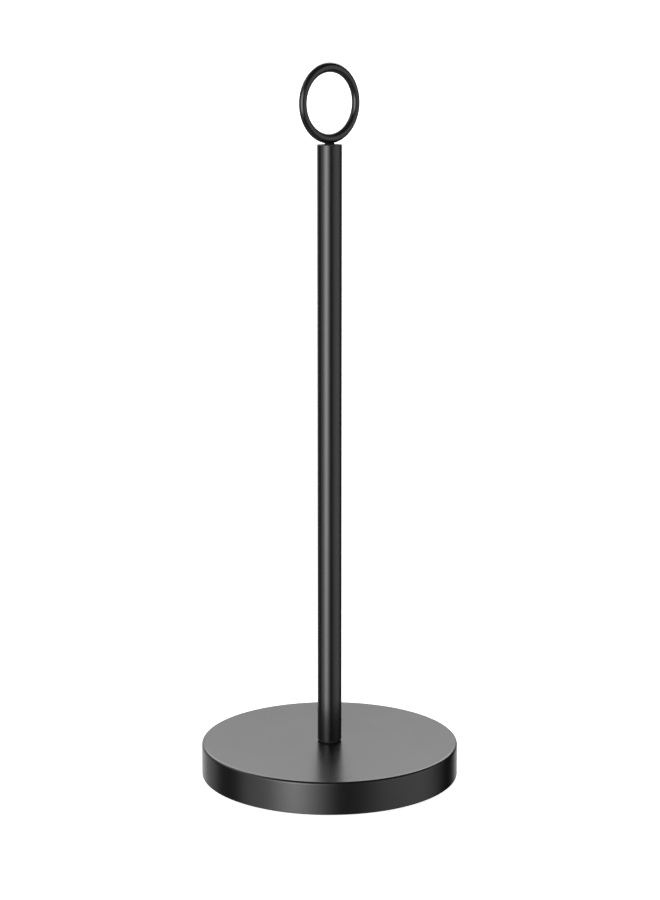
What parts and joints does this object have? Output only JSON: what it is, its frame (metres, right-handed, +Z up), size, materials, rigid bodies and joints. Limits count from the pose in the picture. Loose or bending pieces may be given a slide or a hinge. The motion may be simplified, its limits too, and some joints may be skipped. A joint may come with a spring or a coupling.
{
  "type": "paper towel holder",
  "caption": "Free-standing upright paper towel holder: weighted round base, slim pole and a carrying ring on top, held together by screw threads.",
  "frame": {"origin": "centre of the foot ring's underside, where the holder stands on the worktop, directly under the pole's axis", "axes": "+Z up along the pole; the ring lies in the XZ plane and is seen face on along Y"},
  "size_m": [0.13, 0.13, 0.3578],
  "materials": {
    "black_coat": "satin powder coat on steel",
    "weight_iron": "as cast",
    "zinc_steel": "bright zinc plate",
    "spring_steel": "oiled black spring steel",
    "foot_rubber": "matt moulded rubber",
    "washer_nylon": "natural moulded, black"
  },
  "bodies": {
    "base": {"base_cover": "black_coat", "base_weight": "weight_iron", "base_plate": "black_coat", "base_screw_1": "zinc_steel", "base_screw_2": "zinc_steel", "base_screw_3": "zinc_steel", "foot_ring": "foot_rubber", "pole_bolt": "zinc_steel", "bolt_washer": "zinc_steel", "bolt_lock_washer": "spring_steel", "pole_washer": "washer_nylon", "pole_tube": "black_coat", "pole_bottom_plug": "zinc_steel", "pole_top_plug": "black_coat"},
    "ring_seat": {"ring_washer": "washer_nylon"},
    "ring": {"ring_stud": "black_coat", "ring": "black_coat"}
  },
  "joints": [
    {"name": "ring_turn", "type": "hinge", "parent": "base", "child": "ring_seat", "pos_m": [0, 0, 0.3187], "axis": [0, 0, 1], "range_deg": [0, 4320]},
    {"name": "ring_lift", "type": "slide", "parent": "ring_seat", "child": "ring", "axis": [0, 0, 1], "range_m": [0, 0.0085]}
  ],
  "couplings": [
    {"joint": "ring_lift", "follows": "ring_turn", "m_per_rad": 0.00011141}
  ]
}
